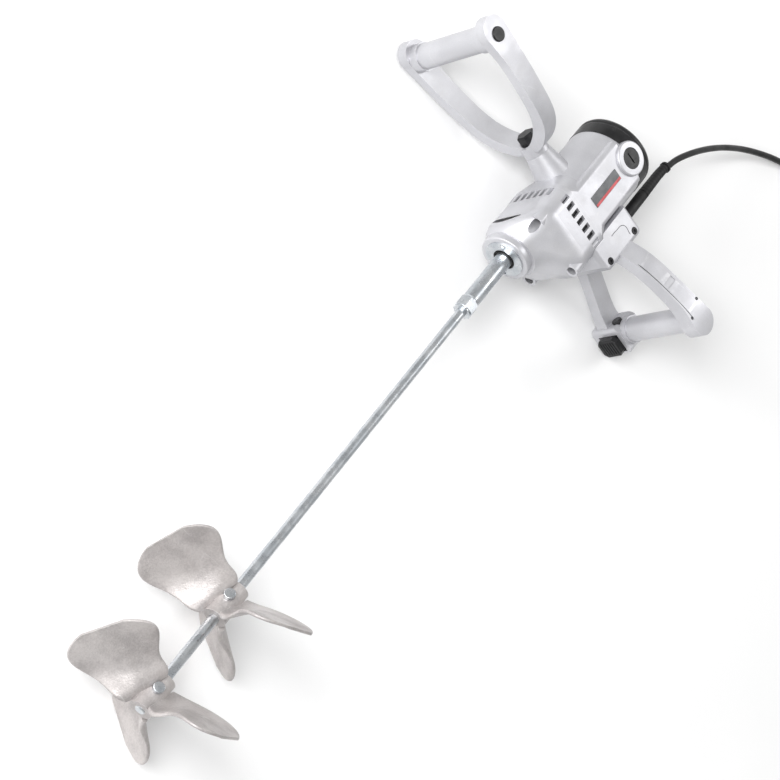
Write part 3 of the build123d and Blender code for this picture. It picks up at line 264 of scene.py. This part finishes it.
class Finish(Net):
    """One material: colours first, then wear, scratches and dust, then gloss and relief."""

    def __init__(self, name, metallic, specular=0.5, coat=0.0):
        self.material = bpy.data.materials.new(name)
        self.material.use_nodes = True
        super().__init__(self.material.node_tree)
        self.shader = self.tree.nodes["Principled BSDF"]
        self.shader.inputs["Metallic"].default_value = metallic
        self.shader.inputs["Specular IOR Level"].default_value = specular
        self.shader.inputs["Coat Weight"].default_value = coat
        self.shader.inputs["Coat Roughness"].default_value = 0.25
        self.place = self.add("TexCoord").outputs["Object"]

    def effect(self, group, **inputs):
        node = self.add("Group", node_tree=group)
        self.feed(node.inputs["Place"], self.place)
        for key, value in inputs.items():
            self.feed(node.inputs[key], value)
        return node.outputs[0]

    def paint(self, dark, light, size, fine_size=0.0012):
        """Base colour that drifts between two tones, slowly and in fine grain."""
        broad = self.effect(MOTTLE, Size=size)
        fine = self.effect(MOTTLE, Size=fine_size, Low=-0.22, High=0.22)
        share = self.math("ADD", broad, fine, clamp=True)
        self.colour = self.blend(share, (*dark, 1), (*light, 1))

    def wear(self, mask, tone, gloss=0.0):
        """Another colour where the mask is set, with a change of roughness."""
        self.colour = self.blend(mask, self.colour, (*tone, 1))
        if gloss:
            self.rough = self.math("ADD", self.rough, self.math("MULTIPLY", mask, gloss))

    def roughness(self, low, high, size):
        self.rough = self.effect(MOTTLE, Size=size, Low=low, High=high)

    def relief(self, height, depth, strength=1.0):
        """Bump with a real depth in metres, over any relief set before."""
        bump = self.add("Bump", {"Height": height, "Distance": depth, "Strength": strength})
        if self.shader.inputs["Normal"].is_linked:
            self.feed(bump.inputs["Normal"], self.shader.inputs["Normal"].links[0].from_socket)
        self.feed(self.shader.inputs["Normal"], bump.outputs["Normal"])

    def done(self):
        self.feed(self.shader.inputs["Base Color"], self.colour)
        self.feed(self.shader.inputs["Roughness"], self.rough)
        return self.material


# ------------------------------------------------------------ finishes of this tool

def silver_paint():
    """Silver paint over cast aluminium: fine flakes, an uneven casting, bare metal at edges."""
    paint = Finish("silver paint", metallic=0.55, coat=0.15)
    paint.paint((0.50, 0.50, 0.525), (0.585, 0.585, 0.61), size=0.06, fine_size=0.0009)
    paint.roughness(0.36, 0.48, size=0.03)
    edges = paint.effect(EDGE_WEAR, Width=0.0011, Size=0.007, Amount=0.55)
    paint.wear(edges, (0.78, 0.78, 0.80), -0.10)
    paint.wear(paint.effect(SCRATCHES, Size=0.035, Amount=0.35), (0.70, 0.70, 0.71), -0.05)
    paint.wear(paint.effect(DUST, Size=0.018, Amount=0.08), (0.42, 0.40, 0.37), 0.12)
    paint.relief(paint.effect(GRAIN, Size=0.0011, Cells=0.6), 0.00006)
    paint.relief(paint.effect(MOTTLE, Size=0.016), 0.00018, 0.4)
    return paint.done()


def cast_aluminium():
    """Rough grey cast aluminium, tumbled, with rubbed edges and mortar haze."""
    metal = Finish("cast aluminium", metallic=0.6)
    metal.paint((0.40, 0.375, 0.37), (0.56, 0.53, 0.52), size=0.035, fine_size=0.0022)
    metal.roughness(0.42, 0.62, size=0.02)
    edges = metal.effect(EDGE_WEAR, Width=0.0018, Size=0.010, Amount=0.75)
    metal.wear(edges, (0.74, 0.73, 0.72), -0.12)
    metal.wear(metal.effect(SCRATCHES, Size=0.04, Amount=0.5), (0.66, 0.65, 0.64), -0.1)
    metal.wear(metal.effect(DUST, Size=0.03, Amount=0.16), (0.40, 0.38, 0.35), 0.2)
    metal.relief(metal.effect(GRAIN, Size=0.0016, Cells=0.8), 0.00016)
    metal.relief(metal.effect(MOTTLE, Size=0.018), 0.0004, 0.5)
    return metal.done()


GRAIN_DEPTH = 0.09           # depth of the moulded grain, as a share of its size


def moulded_plastic(name, tone, rough, grain):
    """Black moulded plastic with a fine texture and greyed edges."""
    plastic = Finish(name, metallic=0.0, specular=0.35)
    plastic.paint(tuple(v * 0.6 for v in tone), tuple(v * 1.4 for v in tone), size=0.02)
    plastic.roughness(rough - 0.06, rough + 0.08, size=0.015)
    edges = plastic.effect(EDGE_WEAR, Width=0.0008, Size=0.005, Amount=0.5)
    plastic.wear(edges, (0.045, 0.045, 0.047), 0.05)
    plastic.wear(plastic.effect(SCRATCHES, Size=0.02, Amount=0.4), (0.05, 0.05, 0.052))
    plastic.wear(plastic.effect(DUST, Size=0.012, Amount=0.05), (0.20, 0.19, 0.18), 0.2)
    plastic.relief(plastic.effect(GRAIN, Size=grain, Cells=0.7), grain * GRAIN_DEPTH)
    return plastic.done()


def machined_steel(name, dark, light, rough, pitch, wear_tone):
    """Turned or plated steel with lathe rings, stains and bright edges."""
    steel = Finish(name, metallic=1.0)
    steel.paint(dark, light, size=0.018, fine_size=0.0015)
    steel.roughness(rough - 0.08, rough + 0.1, size=0.012)
    steel.wear(steel.effect(EDGE_WEAR, Width=0.0006, Size=0.004, Amount=0.6), wear_tone, -0.08)
    steel.wear(steel.effect(SCRATCHES, Size=0.018, Amount=0.6), wear_tone)
    steel.wear(steel.effect(DUST, Size=0.02, Amount=0.08), (0.30, 0.28, 0.26), 0.25)
    steel.relief(steel.effect(TURNING, Pitch=pitch), 0.000008)
    steel.relief(steel.effect(GRAIN, Size=0.0012, Cells=0.2), 0.000006)
    return steel.done()


def blackened_steel():
    """Black oxide steel, rubbed bright on its corners."""
    steel = Finish("black steel", metallic=0.5, specular=0.4)
    steel.paint((0.010, 0.010, 0.011), (0.022, 0.022, 0.024), size=0.01)
    steel.roughness(0.30, 0.44, size=0.008)
    edges = steel.effect(EDGE_WEAR, Width=0.0006, Size=0.003, Amount=0.6)
    steel.wear(edges, (0.10, 0.10, 0.11), -0.05)
    steel.wear(steel.effect(DUST, Size=0.01, Amount=0.06), (0.20, 0.19, 0.17), 0.2)
    steel.relief(steel.effect(GRAIN, Size=0.0008, Cells=0.5), 0.00005)
    return steel.done()


def copper_wire():
    """Enamelled copper, in fine turns."""
    copper = Finish("copper", metallic=1.0)
    copper.paint((0.42, 0.16, 0.07), (0.62, 0.28, 0.13), size=0.008)
    copper.roughness(0.28, 0.42, size=0.006)
    edges = copper.effect(EDGE_WEAR, Width=0.0005, Size=0.003, Amount=0.5)
    copper.wear(edges, (0.75, 0.45, 0.28), -0.05)
    copper.relief(copper.effect(TURNING, Pitch=0.0008), 0.0001)
    return copper.done()


def stacked_sheets():
    """Edges of stacked electrical steel sheets."""
    sheets = Finish("lamination", metallic=0.9)
    sheets.paint((0.17, 0.17, 0.18), (0.32, 0.32, 0.33), size=0.01)
    sheets.roughness(0.42, 0.58, size=0.006)
    edges = sheets.effect(EDGE_WEAR, Width=0.0005, Size=0.003, Amount=0.5)
    sheets.wear(edges, (0.5, 0.5, 0.5), -0.1)
    sheets.relief(sheets.effect(TURNING, Pitch=0.0005), 0.00012)
    return sheets.done()


def plate_paint(name, dark, light):
    """Printed enamel of the bare name plate."""
    enamel = Finish(name, metallic=0.2, coat=0.3)
    enamel.paint(dark, light, size=0.006)
    enamel.roughness(0.30, 0.42, size=0.01)
    edges = enamel.effect(EDGE_WEAR, Width=0.0004, Size=0.003, Amount=0.5)
    enamel.wear(edges, (0.45, 0.45, 0.46), -0.05)
    enamel.wear(enamel.effect(SCRATCHES, Size=0.012, Amount=0.3), (0.25, 0.25, 0.26))
    enamel.relief(enamel.effect(GRAIN, Size=0.0006, Cells=0.3), 0.00002)
    return enamel.done()


FINISHES = {
    "silver_paint": silver_paint(),
    "cast_aluminium": cast_aluminium(),
    "black_plastic": moulded_plastic("black plastic", (0.011, 0.011, 0.012), 0.36, 0.0009),
    "black_rubber": moulded_plastic("black rubber", (0.010, 0.010, 0.0105), 0.52, 0.0006),
    "cord_rubber": moulded_plastic("cord sheath", (0.009, 0.009, 0.0095), 0.45, 0.0005),
    "carbon": moulded_plastic("carbon", (0.02, 0.02, 0.021), 0.6, 0.0004),
    "black_steel": blackened_steel(),
    "zinc_steel": machined_steel("zinc steel", (0.50, 0.53, 0.56), (0.66, 0.68, 0.70),
        0.30, 0.0008, (0.82, 0.83, 0.84)),
    "turned_steel": machined_steel("turned steel", (0.38, 0.37, 0.36), (0.52, 0.51, 0.49),
        0.34, 0.0006, (0.72, 0.71, 0.70)),
    "gear_steel": machined_steel("gear steel", (0.22, 0.22, 0.23), (0.34, 0.34, 0.35),
        0.38, 0.0005, (0.6, 0.6, 0.6)),
    "pin_nickel": machined_steel("nickel pins", (0.56, 0.52, 0.46), (0.70, 0.66, 0.60),
        0.24, 0.0005, (0.8, 0.78, 0.74)),
    "copper": copper_wire(),
    "lamination": stacked_sheets(),
    "plate": plate_paint("plate enamel", (0.035, 0.037, 0.042), (0.055, 0.057, 0.062)),
}
RED_ENAMEL = plate_paint("red enamel", (0.33, 0.012, 0.018), (0.46, 0.022, 0.03))

for part in frame["record"]["subparts"]:
    node = frame["nodes"].get(part["node"])
    if node is not None:
        node.data.materials.clear()
        node.data.materials.append(FINISHES[part["material_slot"]])
cord.data.materials.append(FINISHES["cord_rubber"])


# ------------------------------------------------------------ places in the tool's own frame

LEAN = radians(1.8208)      # nose end raised by the propellers
SPINDLE = Vector((0.256147, -0.00865, 0.0773321))    # spindle's place at the nose, in metres
LYING = Matrix(((0, -sin(LEAN), cos(LEAN), 0), (-1, 0, 0, 0),
                (0, -cos(LEAN), -sin(LEAN), 0), (0, 0, 0, 1)))
TOOL = Matrix.Translation(SPINDLE) @ LYING @ Matrix.Scale(0.001, 4)
MOTOR = Vector((20.0, -6.0, 0.0))
CAP_TOP = 229.0
FLAT_Y = -53.5              # flat side of the motor housing
SADDLE_Y = -51.0            # near side of the switch handle's saddle


def as_piece(name, mesh, slot, material=None, smooth=False, body="machine"):
    """Object at the origin from a mesh drawn in the tool's frame, riding on a body."""
    mesh.transform(TOOL)
    mesh.name = name
    mesh.materials.clear()
    mesh.materials.append(material or FINISHES[slot])
    for face in mesh.polygons:
        face.use_smooth = smooth
    piece = link(bpy.data.objects.new(name, mesh))
    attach(piece, body)
    return piece


# Corner numbers of a bar's six faces, with z changing fastest from corner to corner.
BAR_FACES = ((0, 1, 3, 2), (4, 6, 7, 5), (0, 4, 5, 1), (2, 3, 7, 6), (0, 2, 6, 4), (1, 5, 7, 3))


def rounded_bar(low, high, edge):
    """Bar between two corners with rounded edges."""
    shape = bmesh.new()
    corners = [shape.verts.new(place) for place in product(*zip(low, high))]
    for sides in BAR_FACES:
        shape.faces.new([corners[i] for i in sides])
    bmesh.ops.bevel(shape, geom=shape.edges[:], offset=edge, segments=2, profile=0.5, affect="EDGES")
    bmesh.ops.recalc_face_normals(shape, faces=shape.faces)
    mesh = bpy.data.meshes.new("bar")
    shape.to_mesh(mesh)
    shape.free()
    return mesh


# ------------------------------------------------------------ repeated pieces

class Rule:
    """Geometry node tree with named inputs, ending in one real mesh with its material."""

    def __init__(self, name, inputs):
        self.tree = bpy.data.node_groups.new(name, "GeometryNodeTree")
        sockets = self.tree.interface
        for title, kind in [("Geometry", "Geometry"), *inputs, ("Material", "Material")]:
            sockets.new_socket(title, in_out="INPUT", socket_type="NodeSocket" + kind)
        sockets.new_socket("Geometry", in_out="OUTPUT", socket_type="NodeSocketGeometry")
        self.given = self.tree.nodes.new("NodeGroupInput").outputs

    def add(self, kind, inputs=None, **settings):
        node = self.tree.nodes.new(kind)
        for key, value in settings.items():
            setattr(node, key, value)
        for key, value in (inputs or {}).items():
            if isinstance(value, bpy.types.NodeSocket):
                self.tree.links.new(value, node.inputs[key])
            else:
                node.inputs[key].default_value = value
        return node

    def finish(self, geometry):
        real = self.add("GeometryNodeRealizeInstances", {"Geometry": geometry}).outputs[0]
        given = {"Geometry": real, "Material": self.given["Material"]}
        painted = self.add("GeometryNodeSetMaterial", given)
        result = self.tree.nodes.new("NodeGroupOutput")
        self.tree.links.new(painted.outputs[0], result.inputs[0])


def ribs_on_arc():
    """Copies of one rib along part of a circle, each turned outwards."""
    sizes = [("Count", "Int"), ("Radius", "Float"), ("Start", "Float"), ("Sweep", "Float")]
    rule = Rule("ribs on an arc", sizes)
    arc = rule.add("GeometryNodeCurveArc", {
        "Resolution": rule.given["Count"], "Radius": rule.given["Radius"],
        "Start Angle": rule.given["Start"], "Sweep Angle": rule.given["Sweep"]})
    outward = rule.add("GeometryNodeInputPosition").outputs[0]
    turned = rule.add("FunctionNodeAlignRotationToVector", {"Vector": outward}, axis="X")
    ribs = rule.add("GeometryNodeInstanceOnPoints", {
        "Points": arc.outputs["Curve"], "Instance": rule.given["Geometry"],
        "Rotation": turned.outputs[0]})
    rule.finish(ribs.outputs[0])
    return rule.tree


def row_of_bars():
    """Copies of one bar in a straight row."""
    rule = Rule("row of bars", [("Count", "Int"), ("Step", "Vector")])
    line = rule.add("GeometryNodeMeshLine", {
        "Count": rule.given["Count"], "Offset": rule.given["Step"]})
    bars = rule.add("GeometryNodeInstanceOnPoints", {
        "Points": line.outputs[0], "Instance": rule.given["Geometry"]})
    rule.finish(bars.outputs[0])
    return rule.tree


SEAM_SIDES = 8


def seam_on_path():
    """Thin round line that follows a curve."""
    rule = Rule("seam on a path", [("Thickness", "Float")])
    section = rule.add("GeometryNodeCurvePrimitiveCircle", {
        "Resolution": SEAM_SIDES, "Radius": rule.given["Thickness"]})
    seam = rule.add("GeometryNodeCurveToMesh", {
        "Curve": rule.given["Geometry"], "Profile Curve": section.outputs["Curve"],
        "Fill Caps": True})
    rule.finish(seam.outputs[0])
    return rule.tree


def grown(data, tree, **values):
    """Mesh that a rule makes from a mesh or curve, with its inputs set by name."""
    source = link(bpy.data.objects.new("source", data))
    modifier = source.modifiers.new("rule", "NODES")
    modifier.node_group = tree
    names = {item.name: item.identifier
             for item in tree.interface.items_tree if item.in_out == "INPUT"}
    for title, value in values.items():
        modifier[names[title]] = value
    bpy.context.view_layer.update()
    result = source.evaluated_get(bpy.context.evaluated_depsgraph_get())
    mesh = bpy.data.meshes.new_from_object(result)
    bpy.data.objects.remove(source)
    return mesh


def path_curve(points):
    """Smooth curve through points of the tool's frame."""
    curve = bpy.data.curves.new("path", "CURVE")
    curve.dimensions = "3D"
    curve.resolution_u = 10
    spline = curve.splines.new("BEZIER")
    spline.bezier_points.add(len(points) - 1)
    for point, place in zip(spline.bezier_points, points):
        point.co = place
        point.handle_left_type = point.handle_right_type = "AUTO"
    return curve


RIB_STARTS, RIB_SWEEP = (150.0, 330.0), 60.0     # degrees
RIBS, RIB_RADIUS, RIB_SINK = 7, 41.0, 0.6


def add_cap_ribs():
    """Short ribs along the rim of the black motor cap, between the two brush bosses."""
    tree = ribs_on_arc()
    for number, start in enumerate(RIB_STARTS):
        rib = rounded_bar((-5.5, -1.5, -0.5), (3.0, 1.5, 2.2), 0.7)
        mesh = grown(rib, tree, Count=RIBS, Radius=RIB_RADIUS, Start=radians(start),
                     Sweep=radians(RIB_SWEEP), Material=FINISHES["black_plastic"])
        mesh.transform(Matrix.Translation(MOTOR + Vector((0, 0, CAP_TOP - RIB_SINK))))
        as_piece(f"cap_ribs_{number}", mesh, "black_plastic")


STRIPE_TOP, STRIPE_UNDER = 0.95, 0.6     # how far the stripe's faces stand off the flat


def add_plate_stripe():
    """Red stripe along the lower long edge of the name plate."""
    low, high = (23.6, FLAT_Y - STRIPE_TOP, 117.4), (26.9, FLAT_Y - STRIPE_UNDER, 172.6)
    stripe = rounded_bar(low, high, 0.12)
    as_piece("plate_stripe", stripe, "plate", RED_ENAMEL)


ARM_SEAM = [(98.0, -54.5), (112.0, -67.0), (128.0, -74.2), (145.0, -80.0), (168.0, -86.6),
            (190.0, -91.0), (207.0, -91.6)]
ARM_SEAM_Z, ARM_SEAM_OUT = 108.0, 0.05
SADDLE_SEAM = [(66.0, 112.0), (66.2, 122.0), (70.0, 137.0), (84.0, 137.5)]
SEAM_RADIUS = 0.35


def add_seams():
    """Dark joint lines of the cover on the near arm and on the saddle."""
    tree = seam_on_path()
    lines = {"arm_seam": [(x, y - ARM_SEAM_OUT, ARM_SEAM_Z) for x, y in ARM_SEAM],
             "saddle_seam": [(x, SADDLE_Y, z) for x, z in SADDLE_SEAM]}
    for name, points in lines.items():
        mesh = grown(path_curve(points), tree, Thickness=SEAM_RADIUS,
                     Material=FINISHES["black_rubber"])
        as_piece(name, mesh, "black_rubber", smooth=True)


RIDGES, RIDGE_STEP, FIRST_RIDGE = 6, 4.0, (209.5, 38.5, 91.0)


def add_trigger_ridges():
    """Grip ridges across the black switch button."""
    ridge = rounded_bar((-9.0, -0.8, -0.5), (9.0, 0.8, 0.9), 0.35)
    ridge.transform(Matrix.Rotation(pi, 4, "X"))
    mesh = grown(ridge, row_of_bars(), Count=RIDGES, Step=(0.0, RIDGE_STEP, 0.0),
                 Material=FINISHES["black_plastic"])
    mesh.transform(Matrix.Translation(FIRST_RIDGE))
    as_piece("trigger_ridges", mesh, "black_plastic", body="trigger_button")


def surface_of(node):
    """Search tree of a CAD piece, in the tool's frame."""
    back = TOOL.inverted()
    mesh = frame["nodes"][node].data
    places = [back @ v.co for v in mesh.vertices]
    return BVHTree.FromPolygons(places, [tuple(f.vertices) for f in mesh.polygons])


def turned_piece(profile, x=0.0, y=0.0, steps=64):
    """Closed solid of revolution about a line along Z, from a closed (radius, height) outline."""
    places = [(x + r * cos(2 * pi * i / steps), y + r * sin(2 * pi * i / steps), z)
              for i in range(steps) for r, z in profile]
    count, faces = len(profile), []
    for i in range(steps):
        for j in range(count):
            a, b = i * count, (i + 1) % steps * count
            faces.append((a + j, b + j, b + (j + 1) % count, a + (j + 1) % count))
    mesh = bpy.data.meshes.new("turned")
    mesh.from_pydata(places, [], faces)
    shape = bmesh.new()
    shape.from_mesh(mesh)
    bmesh.ops.recalc_face_normals(shape, faces=shape.faces)
    shape.to_mesh(mesh)
    shape.free()
    return mesh


CAP_RIM = [(43.0, 225.0), (48.9, 222.0), (49.9, 224.0), (49.7, 227.6), (48.2, 230.6),
           (45.6, 232.2), (43.2, 231.4), (42.2, 228.4)]      # radius and height


def add_cap_rim():
    """Raised rim round the end of the black motor cap."""
    rim = turned_piece(CAP_RIM, MOTOR.x, MOTOR.y, steps=96)
    as_piece("cap_rim", rim, "black_plastic", smooth=True)


# Painted shade: black bar liners inside the housing, so that the view through the air slots reads
# dark.
SHADE_LINER_BARS, BAR_PITCH, BAR_H = 34, 2.2, 17.5
FIRST_BAR = (-36.3, -43.2, 74.0)         # from the motor's axis, on the first of the four sides


def add_vent_shade_liners():
    """Black liners behind the air slots, with fine upright bars; they are painted shade that darkens
    the inside seen through the slots.
    """
    tree = row_of_bars()
    for number in range(4):
        bar = rounded_bar((-BAR_PITCH / 2, -0.4, 0.0), (BAR_PITCH / 2, 0.4, BAR_H), 0.1)
        mesh = grown(bar, tree, Count=SHADE_LINER_BARS, Step=(BAR_PITCH, 0.0, 0.0),
                     Material=FINISHES["black_plastic"])
        mesh.transform(Matrix.Translation(FIRST_BAR))
        mesh.transform(Matrix.Translation(MOTOR) @ Matrix.Rotation(number * pi / 2, 4, "Z"))
        as_piece(f"vent_shade_liner_{number}", mesh, "black_plastic")


POCKET_X, POCKET_Y, POCKET_REACH = -37.0, 37.0, 6.4      # from the motor's axis
POCKET_MAX_Z = 50.0          # a hit above this went down the pocket
FILL_STEPS, FILL_OUT = 32, 0.05


def add_corner_fill():
    """Cast patch round the mouth of the screw pocket at the hidden corner."""
    skin = surface_of("gear_housing")
    x, y = MOTOR.x + POCKET_X, MOTOR.y + POCKET_Y
    rim = []
    for i in range(FILL_STEPS):
        turn = 2 * pi * i / FILL_STEPS
        below = Vector((x + POCKET_REACH * cos(turn), y + POCKET_REACH * sin(turn), -20))
        hit = skin.ray_cast(below, Vector((0, 0, 1)))[0]
        rim.append(hit - Vector((0, 0, FILL_OUT)) if hit and hit.z < POCKET_MAX_Z else None)
    known = [place for place in rim if place]
    middle = sum(known, Vector()) / len(known)
    places = [middle] + [place or middle.copy() for place in rim]
    faces = [(0, 1 + (i + 1) % FILL_STEPS, 1 + i) for i in range(FILL_STEPS)]
    mesh = bpy.data.meshes.new("fill")
    mesh.from_pydata(places, [], faces)
    as_piece("corner_fill", mesh, "silver_paint", smooth=True)


ARM_SCREWS = [(186.0, 131.0), (196.5, 107.0)]            # x and z
SCREW_HEAD = [(0.6, -0.8), (1.9, -0.8), (2.0, 0.25), (1.6, 0.6), (0.6, 0.45)]


def add_arm_screws():
    """Small black screws near the end of the near arm."""
    skin = surface_of("switch_handle")
    for number, (x, z) in enumerate(ARM_SCREWS):
        hit, normal, _, _ = skin.ray_cast(Vector((x, -140, z)), Vector((0, 1, 0)))
        head = turned_piece(SCREW_HEAD, steps=24)
        upright = normal.to_track_quat("Z", "Y").to_matrix().to_4x4()
        head.transform(Matrix.Translation(hit) @ upright)
        as_piece(f"arm_screw_{number}", head, "black_steel")


add_cap_rim()
add_vent_shade_liners()
add_corner_fill()
add_arm_screws()
add_cap_ribs()
add_plate_stripe()
add_seams()
add_trigger_ridges()


# ------------------------------------------------------------ floor and light

FLOOR_HALF = 6.0
LIGHT_TARGET = (0.1, 0, 0.05)
SKY_STRENGTH = 0.55


def make_floor():
    mesh = bpy.data.meshes.new("floor")
    corners = [(x * FLOOR_HALF, y * FLOOR_HALF, 0) for x, y in ((-1, -1), (1, -1), (1, 1), (-1, 1))]
    mesh.from_pydata(corners, [], [(0, 1, 2, 3)])
    floor = link(bpy.data.objects.new("floor", mesh))
    paper = Finish("pale floor", metallic=0.0, specular=0.2)
    paper.paint((0.90, 0.90, 0.90), (0.93, 0.93, 0.93), size=0.4)
    paper.roughness(0.85, 0.95, size=0.3)
    mesh.materials.append(paper.done())


def make_light(name, place, size, power):
    """Round soft light that faces the tool."""
    data = bpy.data.lights.new(name, "AREA")
    data.shape, data.size, data.energy = "DISK", size, power
    light = link(bpy.data.objects.new(name, data))
    aim = Vector(LIGHT_TARGET) - Vector(place)
    turn = aim.to_track_quat("-Z", "Y").to_matrix().to_4x4()
    light.matrix_world = Matrix.Translation(place) @ turn


def make_sky():
    """Even white light from all round."""
    world = bpy.data.worlds.new("studio")
    world.use_nodes = True
    background = world.node_tree.nodes["Background"]
    background.inputs["Color"].default_value = (1, 1, 1, 1)
    background.inputs["Strength"].default_value = SKY_STRENGTH
    scene.world = world


make_floor()
make_light("key", (-1.7, 1.9, 2.7), size=1.6, power=95)
make_light("side", (-1.2, 2.6, 1.0), size=1.2, power=45)
make_light("back", (2.2, -0.6, 1.9), size=1.0, power=14)
make_sky()
scene.view_settings.view_transform = "Standard"
